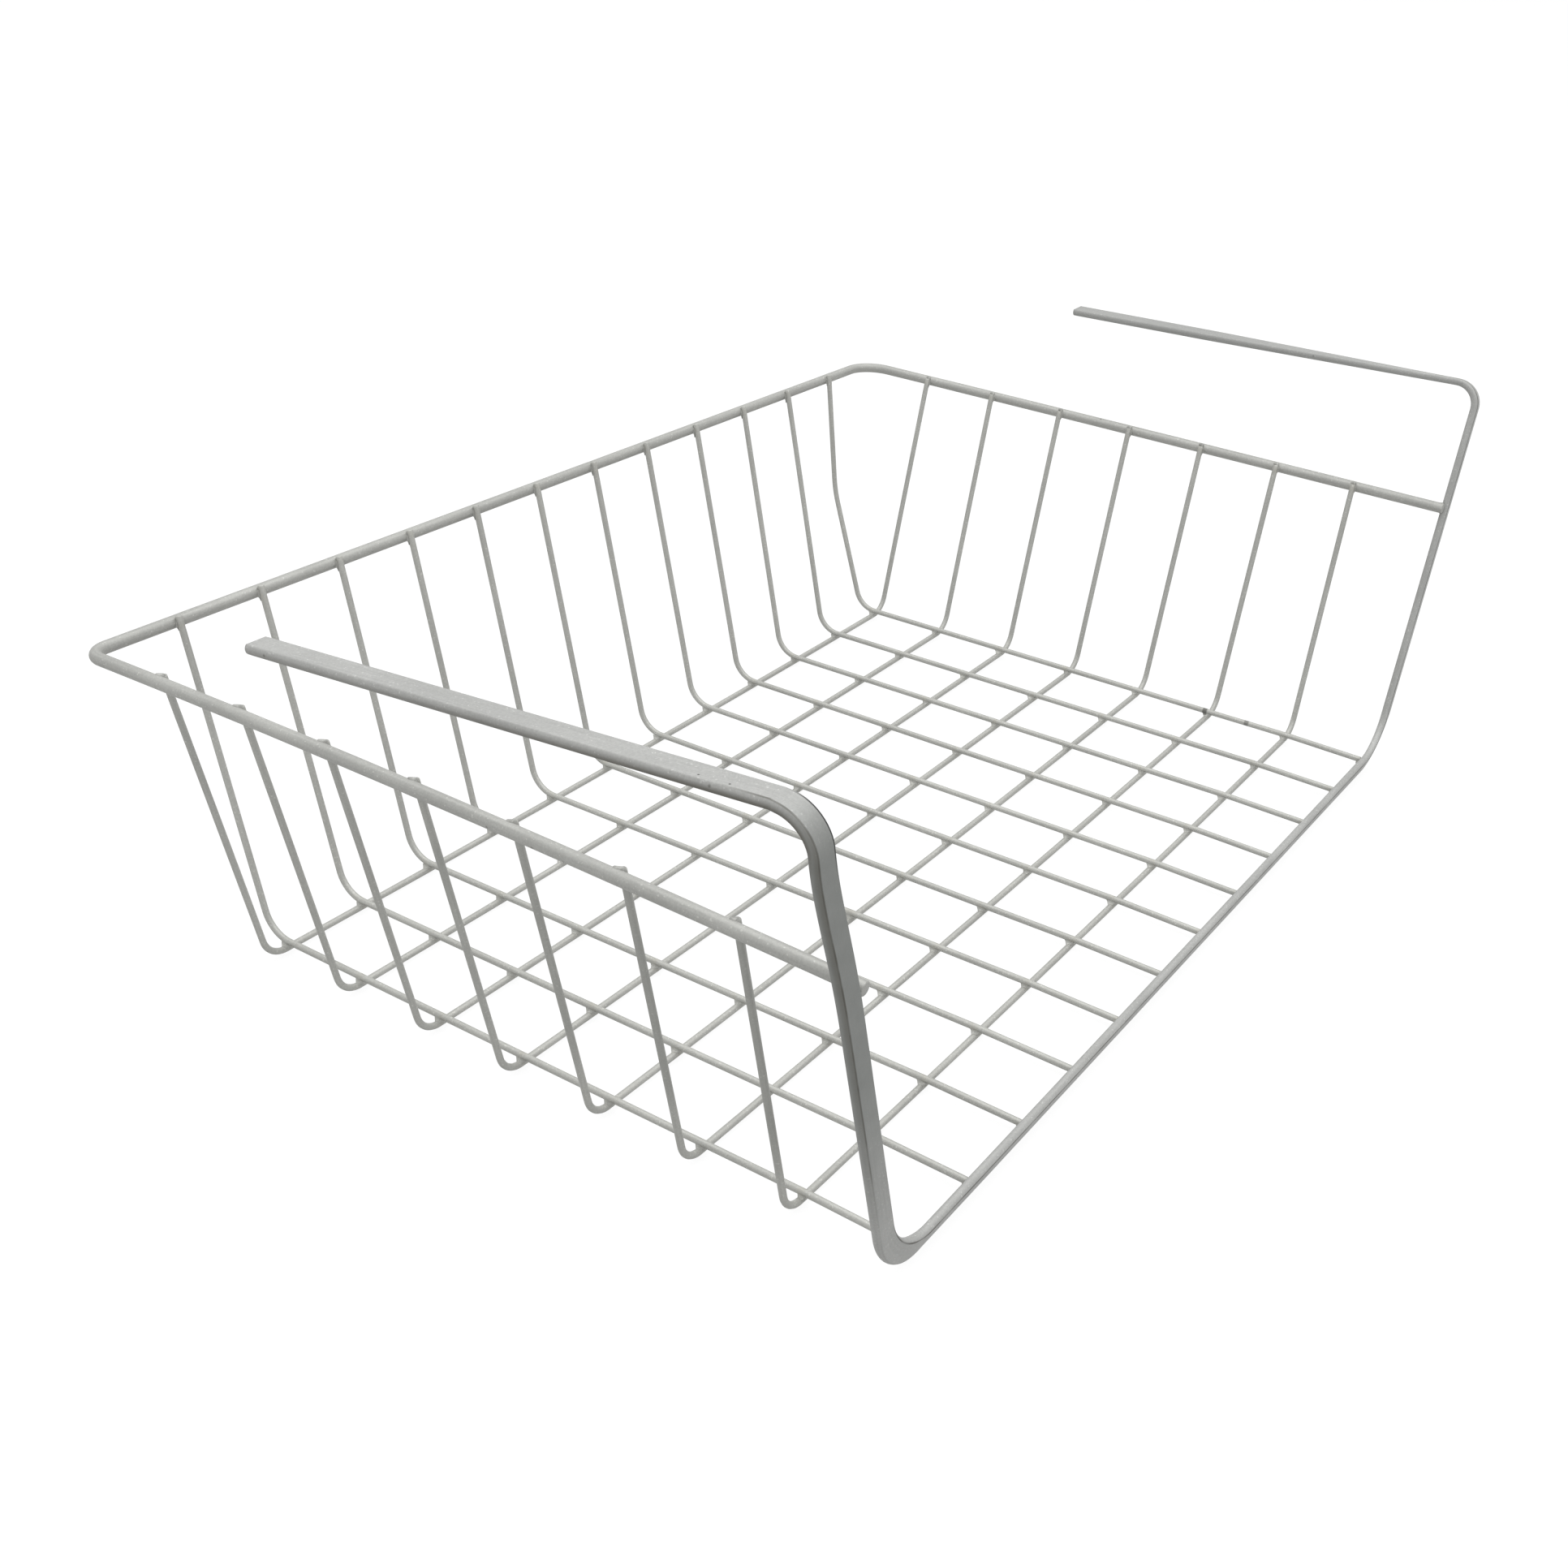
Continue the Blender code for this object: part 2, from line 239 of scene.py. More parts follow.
def grain(tree, place, scale, detail=2.0, stretch=(1, 1, 1)):
    """Noise at a scale per metre, drawn out where stretch is below 1."""
    spread = node(tree, "Mapping")
    spread.inputs["Scale"].default_value = stretch
    tree.links.new(place, spread.inputs["Vector"])
    cloud = node(tree, "TexNoise")
    cloud.inputs["Scale"].default_value = scale
    cloud.inputs["Detail"].default_value = detail
    tree.links.new(spread.outputs["Vector"], cloud.inputs["Vector"])
    return cloud.outputs["Fac"]


def flecks(tree, place, scale, feature="F1"):
    """Cells at a scale per metre: how far from each cell's middle, and a chance value per cell."""
    cells = node(tree, "TexVoronoi", feature=feature)
    cells.inputs["Scale"].default_value = scale
    tree.links.new(place, cells.inputs["Vector"])
    parts = node(tree, "SeparateColor")
    tree.links.new(cells.outputs["Color"], parts.inputs["Color"])
    return cells.outputs["Distance"], parts.outputs["Red"]


def tinted(tree, colour, tint, amount):
    """The colour, moved towards a tint by an amount."""
    blend = node(tree, "Mix", data_type="RGBA")
    tree.links.new(amount, blend.inputs["Factor"])
    tree.links.new(colour, blend.inputs["A"])
    blend.inputs["B"].default_value = (*tint, 1)
    return blend.outputs["Result"]


def powder_coat(name, colour, grime_and_shade_tint, grime_and_shade_amount, extra=None):
    """Fine-flaked satin powder coat over steel, with drawing marks below it, and grime and painted
    shade in its seams.
    """
    material = bpy.data.materials.new(name)
    material.use_nodes = True
    tree = material.node_tree
    shader = tree.nodes["Principled BSDF"]
    place = node(tree, "TexCoord").outputs["Object"]
    lay_node = node(tree, "Attribute", attribute_name="lay")
    lay = lay_node.outputs["Vector"]
    seam = node(tree, "Attribute", attribute_name="seam").outputs["Fac"]

    # Slow changes of tone, drawing marks along the stock, and fine flakes with a few bright ones
    patch = span(tree, grain(tree, place, 30, 3), 0.3, 0.7, 0.95, 1.05)
    drawn = span(tree, grain(tree, lay, 1500, 2, (0.03, 1, 1)), 0.3, 0.7, 0.96, 1.04)
    _, flake_chance = flecks(tree, place, 2600)
    flake = span(tree, flake_chance, 0.0, 1.0, 0.94, 1.05)
    bright = span(tree, flake_chance, 0.975, 0.985, 1.0, 1.2)
    tone = calculate(tree, "MULTIPLY", patch, drawn)
    tone = calculate(tree, "MULTIPLY", tone, flake)
    tone = calculate(tree, "MULTIPLY", tone, bright)
    speck_far, speck_chance = flecks(tree, place, 160)
    speck_near = span(tree, speck_far, 0.03, 0.09, 1.0, 0.0)
    speck = calculate(tree, "MULTIPLY", speck_near, span(tree, speck_chance, 0.80, 0.85, 0.0, 0.55))

    # The tone scales the coat's own colour. Specks are tinted over it, and grime and painted shade
    # over the seams
    coat = node(tree, "VectorMath", operation="SCALE")
    coat.inputs[0].default_value = colour
    tree.links.new(tone, coat.inputs["Scale"])
    painted = tinted(tree, coat.outputs["Vector"], (0.10, 0.095, 0.08), speck)
    grime_and_shade_cloud = span(tree, grain(tree, place, 420, 2), 0.42, 0.66, 0.0, 1.0)
    grime_and_shade = calculate(tree, "MULTIPLY", calculate(tree, "POWER", seam, 1.6), grime_and_shade_cloud)
    grime_and_shade = calculate(tree, "MULTIPLY", grime_and_shade, grime_and_shade_amount)
    painted = tinted(tree, painted, grime_and_shade_tint, grime_and_shade)
    if extra:
        painted = extra(tree, painted, place, lay_node)
    tree.links.new(painted, shader.inputs["Base Color"])

    # Satin gloss that wanders, over an orange-peel skin
    matt = calculate(tree, "MULTIPLY_ADD", grain(tree, place, 220, 3), 0.24, 0.34)
    matt = calculate(tree, "MULTIPLY_ADD", flake_chance, 0.08, matt)
    tree.links.new(matt, shader.inputs["Roughness"])
    peel = node(tree, "Bump")
    peel.inputs["Strength"].default_value = 0.2
    peel.inputs["Distance"].default_value = 0.00012
    tree.links.new(grain(tree, place, 900, 2), peel.inputs["Height"])
    drag = node(tree, "Bump")
    drag.inputs["Strength"].default_value = 0.15
    drag.inputs["Distance"].default_value = 0.00005
    tree.links.new(grain(tree, lay, 2200, 2, (0.02, 1, 1)), drag.inputs["Height"])
    tree.links.new(peel.outputs["Normal"], drag.inputs["Normal"])
    tree.links.new(drag.outputs["Normal"], shader.inputs["Normal"])
    shader.inputs["Metallic"].default_value = 0.35
    shader.inputs["Specular IOR Level"].default_value = 0.3
    shader.inputs["Specular Tint"].default_value = (0.6, 0.6, 0.6, 1)
    return material


def far_from(tree, place, spot):
    """How far each place is from a spot."""
    distance = node(tree, "VectorMath", operation="DISTANCE")
    tree.links.new(place, distance.inputs[0])
    distance.inputs[1].default_value = spot
    return distance.outputs["Value"]


def painted_bar_shade_and_chips(tree, painted, place, lay_node):
    """Painted shade: a darker left leg and right arm, darker still on the outer sides of the left leg
    and arm, with a thin line of painted shade along the edges. Also two chips in the left arm."""
    parts = node(tree, "SeparateXYZ")
    tree.links.new(lay_node.outputs["Vector"], parts.inputs["Vector"])
    along, across, through = parts.outputs
    on_leg = span(tree, along, 0.146, 0.168, 0.0, 1.0)
    on_leg = calculate(tree, "MULTIPLY", on_leg, span(tree, along, 0.23, 0.29, 1.0, 0.1))
    on_sill = span(tree, along, 0.28, 0.30, 0.0, 1.0)
    on_sill = calculate(tree, "MULTIPLY", on_sill, span(tree, along, 0.80, 0.82, 1.0, 0.1))
    # Painted shade: the left leg is tinted darker, and the right arm a little
    painted = tinted(tree, painted, (0.236, 0.246, 0.236), calculate(tree, "MULTIPLY", on_leg, 0.85))
    painted = tinted(tree, painted, (0.30, 0.305, 0.295), span(tree, along, 0.79, 0.81, 0.0, 0.35))

    # Painted shade darkens the outer side of the leg towards its front edge, and that of the arm
    # towards its lower one
    outer = span(tree, across, -0.0031, -0.0029, 1.0, 0.0)
    shade = calculate(tree, "MULTIPLY", span(tree, through, -0.0006, 0.0011, 0.1, 0.55), on_leg)
    shade = calculate(tree, "MULTIPLY", shade, span(tree, along, 0.19, 0.25, 1.0, 0.7))
    on_arm = span(tree, along, 0.02, 0.15, 0.55, 1.25)
    on_arm = calculate(tree, "MULTIPLY", on_arm, span(tree, along, 0.158, 0.175, 1.0, 0.0))
    arm_shade = calculate(tree, "MULTIPLY", span(tree, through, -0.0010, 0.0009, 0.75, 0.12), on_arm)
    shade = calculate(tree, "MULTIPLY", outer, calculate(tree, "MAXIMUM", shade, arm_shade))
    painted = tinted(tree, painted, (0.12, 0.112, 0.092), shade)

    # The line of painted shade along the creases comes and goes, and painted shade makes the inner
    # edge black below the left elbow
    gaps = grain(tree, lay_node.outputs["Vector"], 90, 3, (1, 0.2, 0.2))
    broken = span(tree, gaps, 0.35, 0.6, 0.5, 1.0)
    in_front = calculate(tree, "MULTIPLY", broken, span(tree, through, 0.0008, 0.0010, 0.0, 0.85))
    outer_far = calculate(tree, "ABSOLUTE", calculate(tree, "ADD", across, 0.00295), 0)
    inner_far = calculate(tree, "ABSOLUTE", calculate(tree, "SUBTRACT", across, 0.00295), 0)
    on_bend = calculate(tree, "MAXIMUM", on_leg, span(tree, along, 0.135, 0.15, 0.0, 0.8))
    on_bend = calculate(tree, "MULTIPLY", on_bend, span(tree, along, 0.25, 0.29, 1.0, 0.15))
    outer_line = calculate(tree, "MULTIPLY", span(tree, outer_far, 0.00010, 0.00030, 1.0, 0.0), on_bend)
    inner_line = calculate(tree, "MULTIPLY", span(tree, inner_far, 0.00010, 0.00030, 1.0, 0.0), on_sill)
    line = calculate(tree, "MULTIPLY", calculate(tree, "MAXIMUM", outer_line, inner_line), in_front)
    painted = tinted(tree, painted, (0.10, 0.097, 0.082), line)
    below_elbow = span(tree, along, 0.150, 0.156, 0.0, 1.0)
    below_elbow = calculate(tree, "MULTIPLY", below_elbow, span(tree, along, 0.168, 0.176, 1.0, 0.0))
    black = calculate(tree, "MULTIPLY", below_elbow, span(tree, across, 0.0025, 0.0027, 0.0, 0.9))
    painted = tinted(tree, painted, (0.03, 0.03, 0.03), black)

    # Two chips in the coat of the left arm
    for chip in ((0.1322, -0.0019, 0.0013), (0.1400, -0.0020, 0.0013)):
        chip_far = far_from(tree, lay_node.outputs["Vector"], chip)
        chip_depth = span(tree, chip_far, 0.00015, 0.00035, 0.9, 0.0)
        painted = tinted(tree, painted, (0.05, 0.05, 0.045), chip_depth)
    return painted


bar_coat = powder_coat("bar_powder_coat", (0.455, 0.458, 0.445), (0.2, 0.2, 0.18), 0.4, painted_bar_shade_and_chips)

# The legs start the section off square to their own flare, and it is carried from there
stations = finely(bar_stations(), bar_spacing)
centres = [centre for centre, _ in stations]
leg_way = (left_foot - left_elbow).normalized()
inward = Vector((-leg_way.z, 0, leg_way.x))
ways = ways_along(centres)
inward = (inward - ways[0] * inward.dot(ways[0])).normalized()
bar_length = 0.0
bar_frames = []
for index, (centre, lean) in enumerate(stations):
    if index:
        inward.rotate(ways[index - 1].rotation_difference(ways[index]))
        bar_length += (centre - stations[index - 1][0]).length
    front = ways[index].cross(inward)
    across = inward * math.cos(lean) + front * math.sin(lean)
    through = front * math.cos(lean) - inward * math.sin(lean)
    bar_frames.append((bar_length, centre, across, through, ways[index]))

bar_starts, bar_finishes = eased_ends(bar_length, bar_end_rounding)
bar_rows = [(place, bar_frames[0], shrink) for place, shrink in bar_starts]
bar_rows += [(framed[0], framed, 0.0) for framed in bar_frames[1:-1]]
bar_rows += [(place, bar_frames[-1], shrink) for place, shrink in bar_finishes]
bar_mesh = bmesh.new()
rings = []
lays = []
for place, (reached, centre, across, through, way), shrink in bar_rows:
    middle = centre + way * (place - reached) + Vector((leg_shift(centre), 0, 0))
    outline = bar_outline(shrink)
    rings.append([middle + across * wide + through * deep for wide, deep in outline])
    lays.append([Vector((place, wide, deep)) for wide, deep in outline])
loft(bar_mesh, rings, lays, [0.0] * len(rings))
flat_bar = piece_of("flat_bar", bar_mesh, bar_coat)
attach(flat_bar, "root")
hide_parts("hanger_frame")

# Rim. One round rod, bent round the left, back and right sides, with its ends welded to the inner
# edges of the legs. Its sides bow outwards a little, and the left one arches up.
rod = 0.0038
rod_end_rounding = 0.0004
rim_left_end = Vector((-0.2018, -0.1271, 0.0979))
rim_right_end = Vector((0.2037, -0.1284, 0.0971))
rim_left_corner = Vector((-0.2024, 0.1289, 0.1020))
rim_right_corner = Vector((0.2057, 0.1289, 0.1010))
rim_left_bow = Vector((-0.0030, 0, 0.0040))
rim_right_bow = Vector((0.0015, 0, -0.0003))
rim_left_bend = 0.0065
rim_right_bend = 0.012
rim_spacing = 0.004
rod_sides = 20
left_run_steps = 60
right_run_steps = 59
coat_waver = 0.02
coat_waver_scale = 70


def rim_side(side, y):
    """Centre of the rod at the left side (-1) or the right side (1)."""
    end, corner, bow = (rim_left_end, rim_left_corner, rim_left_bow)
    if side > 0:
        end, corner, bow = (rim_right_end, rim_right_corner, rim_right_bow)
    share = (y - end.y) / (corner.y - end.y)
    return end.lerp(corner, share) + bow * (4 * share * (1 - share))


def rim_back(x):
    """Centre of the rod along the back."""
    share = (x - rim_left_corner.x) / (rim_right_corner.x - rim_left_corner.x)
    return rim_left_corner.lerp(rim_right_corner, share)


def line_through(corners, bends, spacing):
    """Close points along a bent length of stock, with each inner corner rounded."""
    points = [(corners[0], 0.0)]
    for before, corner, after, bend in zip(corners, corners[1:], corners[2:], bends):
        points += [(point, 0.0) for point, _ in rounded(before, corner, after, bend)]
    points.append((corners[-1], 0.0))
    return [point for point, _ in finely(points, spacing)]


def round_stock(mesh, line, radius, rounding, joints, sides, joint_reach=0.004):
    """Round stock along a line. The coat thickens and thins a little, and joints are remembered."""
    ways = ways_along(line)
    side_way = ways[0].orthogonal().normalized()
    length = sum((after - before).length for before, after in zip(line, line[1:]))
    starts, finishes = eased_ends(length, rounding)
    rows = [(place, line[0], ways[0], side_way, shrink, 0.0) for place, shrink in starts]
    reached = 0.0
    for before, point, way_before, way in zip(line, line[1:-1], ways, ways[1:-1]):
        side_way = side_way.copy()
        side_way.rotate(way_before.rotation_difference(way))
        reached += (point - before).length
        if rounding < reached < length - rounding:
            rows.append((reached, point, way, side_way, 0.0, reached))
    side_way = side_way.copy()
    side_way.rotate(ways[-2].rotation_difference(ways[-1]))
    rows += [(place, line[-1], ways[-1], side_way, shrink, length) for place, shrink in finishes]
    rings = []
    lays = []
    seams = []
    for place, point, way, side_way, shrink, at in rows:
        centre = point + way * (place - at)
        up_way = way.cross(side_way)
        waver = coat_waver * noise.noise(centre * coat_waver_scale)
        thick = radius * (1 + waver) - shrink
        turns = [math.tau * step / sides for step in range(sides)]
        spokes = [(math.cos(turn) * thick, math.sin(turn) * thick) for turn in turns]
        rings.append([centre + side_way * wide + up_way * deep for wide, deep in spokes])
        lays.append([Vector((place, wide, deep)) for wide, deep in spokes])
        near = min([(centre - joint).length for joint in joints], default=joint_reach)
        seams.append(max(0.0, 1 - near / joint_reach))
    loft(mesh, rings, lays, seams)


rim_coat = powder_coat("rim_powder_coat", (0.45, 0.452, 0.43), (0.13, 0.13, 0.12), 0.8)
left_run = [rim_side(-1, rim_left_end.y + rim_spacing * step) for step in range(left_run_steps)]
right_run = [rim_side(1, rim_right_end.y + rim_spacing * step) for step in range(right_run_steps)]
around_back = [left_run[-1], rim_left_corner, rim_right_corner, right_run[-1]]
back_run = line_through(around_back, (rim_left_bend, rim_right_bend), rim_spacing)
rim_line = left_run[:-1] + back_run + right_run[-2::-1]
rim_mesh = bmesh.new()
round_stock(rim_mesh, rim_line, rod / 2, rod_end_rounding, [], rod_sides)
rim_rod = piece_of("rim_rod", rim_mesh, rim_coat)
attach(rim_rod, "root")
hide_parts("rim_wire")

# Cross wires. Seven lengths of drawn wire, counted from the back, that lie under the floor wires
# and climb both side walls to the rim. Their tips lean back, and none is laid quite square.
wire = 0.0021
wire_end_rounding = 0.00035
wire_sides = 12
wire_spacing = 0.002
seat_sunk = 0.0005
side_tip_rise = 0.0013
back_tip_rise = 0.0024
floor_half_width = 0.1781
floor_middle = 0.0006
cross_wire_height = 0.00106
cross_wire_bend = 0.0085
cross_wire_count = 7
cross_wire_pitch = 0.0317
rear_cross_wire = 0.0951
left_tip_lean = 0.0030
right_tip_lean = 0.0010
hand_slack = 0.0004
hand = random.Random(7)
floor_lift = 0.0012
floor_lift_fade = 0.09


def painted_wall_shade_and_scuffs(tree, painted, place, lay_node):
    """Painted shade on the walls at the left, most of all at the front, and two scuffs on the last
    floor wire.
    """
    parts = node(tree, "SeparateXYZ")
    tree.links.new(place, parts.inputs["Vector"])
    x, y, z = parts.outputs
    # Painted shade: the left walls are tinted darker, most of all at the front
    at_left = span(tree, x, -0.186, -0.180, 1.0, 0.0)
    wall = calculate(tree, "MULTIPLY", at_left, span(tree, z, 0.004, 0.014, 0.0, 1.0))
    wall = calculate(tree, "MULTIPLY", wall, span(tree, y, -0.12, 0.10, 0.42, 0.08))
    painted = tinted(tree, painted, (0.25, 0.256, 0.24), wall)
    at_right = span(tree, x, 0.155, 0.160, 0.0, 1.0)
    on_floor = calculate(tree, "MULTIPLY", span(tree, z, 0.0030, 0.0036, 0.0, 1.0),
                         span(tree, z, 0.0058, 0.0062, 1.0, 0.0))
    short_of_wall = calculate(tree, "MULTIPLY", at_right, span(tree, x, 0.1735, 0.1745, 1.0, 0.0))
    last_wire = calculate(tree, "MULTIPLY", short_of_wall, on_floor)
    for scuff_y, strength in ((-0.0621, 0.75), (-0.0797, 0.6)):
        off = calculate(tree, "ABSOLUTE", calculate(tree, "SUBTRACT", y, scuff_y), 0)
        scuff = calculate(tree, "MULTIPLY", span(tree, off, 0.0006, 0.0012, strength, 0.0), last_wire)
        painted = tinted(tree, painted, (0.08, 0.078, 0.07), scuff)
    return painted


wire_coat = powder_coat("wire_powder_coat", (0.48, 0.482, 0.455), (0.38, 0.33, 0.22), 0.2, painted_wall_shade_and_scuffs)

# The walls flare nearly alike, so one angle places the wire tips on all three sides
rim_flare = 0.026
rim_height = 0.1
wall_flare = math.atan2(rim_flare, rim_height)
seat_reach = (rod / 2 + wire / 2 - seat_sunk) / math.cos(wall_flare)


def tip_above(corner, seat, rise):
    """End of a wall wire, just above the place where it is pressed into the rim."""
    way = (seat - corner).normalized()
    return seat + way * (rise / way.z)


def by_hand():
    """A small stray, as a wire gets when it is laid in its jig by hand."""
    return hand.uniform(-hand_slack, hand_slack)


def lifted(x):
    """How far the floor stands above its lowest part. It rises a little to both sides."""
    return floor_lift * (x / floor_half_width) ** 2


def settled(point, height):
    """The point of a wire, moved by the floor's rise, which fades up the walls."""
    fade = max(0.0, 1 - (point.z - height) / floor_lift_fade)
    return point + Vector((0, 0, lifted(point.x) * fade))


cross_corners = []
for index in range(cross_wire_count):
    y = rear_cross_wire - index * cross_wire_pitch
    corners = []
    for side, lean in ((-1, left_tip_lean), (1, right_tip_lean)):
        corner = Vector((floor_middle + side * floor_half_width, y + by_hand(), cross_wire_height))
        seat = rim_side(side, y + lean + by_hand()) - Vector((side * seat_reach, 0, 0))
        corners += [(seat, tip_above(corner, seat, side_tip_rise)), (corner, corner)][::-side]
    cross_corners.append(corners)


# Floor wires. Twelve lengths of the same wire, counted from the left, laid over the cross wires
# from the sill to the back and bent up to the rim. The last was knocked outwards half way up.
floor_wire_height = 0.0034
floor_wire_bend = 0.010
floor_wire_count = 12
floor_wire_pitch = 0.031
floor_depth = 0.1017
front_drop = 0.0008
front_drop_share = 0.13
floor_wire_splay_share = 0.012
knock = 0.005
knock_height = 0.052
knock_bend = 0.06
highest_on_sill = 0.02
crossing_passes = 5


def sill_back(x):
    """Where the back of the leaning sill stands at the height of the floor wires."""
    for (before, lean), (after, next_lean) in zip(stations, stations[1:]):
        if before.z < highest_on_sill and before.x < x <= after.x:
            break
    below = before.z - floor_wire_height
    return before.y + bar_thickness / 2 / math.cos(lean) + below * math.tan(lean)


floor_corners = []
for index in range(floor_wire_count):
    x = (index - (floor_wire_count - 1) / 2) * floor_wire_pitch + floor_middle
    front_x = x + by_hand()
    front = Vector((front_x, sill_back(front_x), floor_wire_height))
    corner = Vector((x + by_hand(), floor_depth, floor_wire_height))
    seat_x = x + (x - floor_middle) * floor_wire_splay_share + by_hand()
    seat = rim_back(seat_x) - Vector((0, seat_reach, 0))
    floor_corners.append([front, corner, seat])


def front_dip(index, y):
    """How far the front end of a floor wire dips, where it was pressed down on the sill."""
    front, corner, _ = floor_corners[index]
    share = max(0.0, min(1.0, (y - front.y) / (corner.y - front.y)))
    return Vector((0, 0, -front_drop * max(0.0, 1 - share / front_drop_share)))


def crossing(cross_index, floor_index):
    """Where a cross wire and a floor wire cross, as the middles of both."""
    (_, left), (_, right) = cross_corners[cross_index][1], cross_corners[cross_index][2]
    front, back, _ = floor_corners[floor_index]
    x = front.x
    for _ in range(crossing_passes):
        y = left.y + (right.y - left.y) * (x - left.x) / (right.x - left.x)
        x = front.x + (back.x - front.x) * (y - front.y) / (back.y - front.y)
    rise = lifted(x)
    return Vector((x, y, cross_wire_height + rise)), Vector((x, y, floor_wire_height + rise))


crossings = []
for cross in range(cross_wire_count):
    crossings.append([crossing(cross, floor) for floor in range(floor_wire_count)])

for index, corners in enumerate(cross_corners):
    joints = [corners[0][0], corners[3][0]] + [low for low, _ in crossings[index]]
    line = line_through([end for _, end in corners], (cross_wire_bend, cross_wire_bend), wire_spacing)
    line = [settled(point, cross_wire_height) for point in line]
    cross_mesh = bmesh.new()
    round_stock(cross_mesh, line, wire / 2, wire_end_rounding, joints, wire_sides)
    cross_piece = piece_of(f"cross_wire_{index + 1}_coated", cross_mesh, wire_coat)
    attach(cross_piece, "root")
    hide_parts(f"cross_wire_{index + 1}")

for index, (front, corner, seat) in enumerate(floor_corners):
    joints = [front + front_dip(index, front.y), seat] + [row[index][1] for row in crossings]
    corners = [front, corner, tip_above(corner, seat, back_tip_rise)]
    bends = [floor_wire_bend]
    if index == len(floor_corners) - 1:
        knocked = corner.lerp(seat, knock_height / seat.z) + Vector((0, knock, 0))
        corners = [front, corner, knocked, tip_above(knocked, seat, back_tip_rise)]
        bends = [floor_wire_bend, knock_bend]
    line = line_through(corners, bends, wire_spacing)
    line = [settled(point, floor_wire_height) + front_dip(index, point.y) for point in line]
    floor_mesh = bmesh.new()
    round_stock(floor_mesh, line, wire / 2, wire_end_rounding, joints, wire_sides)
    floor_piece = piece_of(f"floor_wire_{index + 1:02d}_coated", floor_mesh, wire_coat)
    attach(floor_piece, "root")
    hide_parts(f"floor_wire_{index + 1:02d}")

# Welds of the floor. Each crossing is spot welded, and the coat fills it to a small concave neck,
# which spreads into a web at one of its corners.
weld_steps = 24
weld_rows = 7
weld_sunk = 0.00012
crossing_weld_reach = 0.0015
crossing_weld_grips = (1.35, 1.35)
weld_chance = random.Random(12)


def weld_neck(mesh, upper, upper_way, upper_radius, lower, lower_way, lower_radius, reach, grip):
    """A concave neck between two crossing rods. reach gives how far it runs along the upper and the
    lower rod at any angle round the joint, and grip how far it climbs round the side of each. Its
    rims are where the grime and painted shade sit."""
    rise = (upper - lower).normalized()
    upper_way = (upper_way - rise * upper_way.dot(rise)).normalized()
    lower_way = (lower_way - rise * lower_way.dot(rise)).normalized()
    beside_upper = upper_way.cross(rise)
    beside_upper *= math.copysign(1, beside_upper.dot(lower_way))
    beside_lower = lower_way.cross(rise)
    beside_lower *= math.copysign(1, beside_lower.dot(upper_way))
    rows = [[] for _ in range(weld_rows)]
    for step in range(weld_steps):
        angle = math.tau * step / weld_steps
        run_upper, run_lower = reach(angle)
        round_upper = grip[0] * math.cos(angle)
        round_lower = grip[1] * math.sin(angle)
        off_upper = beside_upper * math.sin(round_upper) - rise * math.cos(round_upper)
        off_lower = beside_lower * math.sin(round_lower) + rise * math.cos(round_lower)
        top = upper + upper_way * (run_upper * math.sin(angle)) + off_upper * (upper_radius - weld_sunk)
        foot = lower + lower_way * (run_lower * math.cos(angle)) + off_lower * (lower_radius - weld_sunk)
        drop = rise * (top - foot).dot(rise)
        knee = (top - drop) * math.cos(angle) ** 2 + (foot + drop) * math.sin(angle) ** 2
        for row in range(weld_rows):
            share = row / (weld_rows - 1)
            point = top * (1 - share) ** 2 + knee * (2 * share * (1 - share)) + foot * share ** 2
            rows[row].append(point)
    loft(mesh, rows, rows, [1.0, 0.5, 0.1, 0.0, 0.1, 0.5, 1.0])


def lopsided(upper_run, lower_run):
    """Reach of a neck that spreads into the rear left corner, or now and then into another."""
    corner = 1 if weld_chance.random() < 0.85 else weld_chance.randrange(4)
    main = math.pi / 4 + math.pi / 2 * corner
    bulge = weld_chance.uniform(0.35, 0.9)
    size = weld_chance.uniform(0.85, 1.1)

    def reach(angle):
        swell = 1 + bulge * max(0.0, math.cos(angle - main)) ** 3
        return upper_run * size * swell, lower_run * size * swell

    return reach


crossing_mesh = bmesh.new()
for cross, row in zip(cross_corners, crossings):
    cross_way = (cross[2][1] - cross[1][1]).normalized()
    for (low, high), (front, corner, _) in zip(row, floor_corners):
        floor_way = (corner - front).normalized()
        reach = lopsided(crossing_weld_reach, crossing_weld_reach)
        weld_neck(crossing_mesh, high, floor_way, wire / 2, low, cross_way, wire / 2, reach,
                  crossing_weld_grips)
crossing_welds = piece_of("crossing_welds", crossing_mesh, wire_coat)
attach(crossing_welds, "root")

# Welds of the rim. Every wall wire ends on the inner side of the rod, and its weld spreads below
# the rod on both sides of the wire, and further to one side.
tip_weld_above = 0.0011
tip_weld_grips = (0.75, 1.3)
tip_mesh = bmesh.new()
tip_welds = []
for _, corner, seat in floor_corners:
    tip_welds.append((seat, seat - corner, rim_back(seat.x), Vector((1, 0, 0))))
for corners in cross_corners:
    for side, (seat, _), (corner, _) in ((-1, corners[0], corners[1]), (1, corners[3], corners[2])):
        tip_welds.append((seat, seat - corner, rim_side(side, seat.y), Vector((0, 1, 0))))
for seat, climb, on_rod, rod_way in tip_welds:
    wide = weld_chance.uniform(0.0022, 0.0030)
    narrow = weld_chance.uniform(0.0015, 0.0020)
    below = weld_chance.uniform(0.0024, 0.0032)

    def tip_reach(angle, wide=wide, narrow=narrow, below=below):
        along = wide if math.sin(angle) > 0 else narrow
        return along, (tip_weld_above if math.cos(angle) > 0 else below)

    weld_neck(tip_mesh, on_rod, rod_way, rod / 2, seat, climb, wire / 2, tip_reach,
              tip_weld_grips)

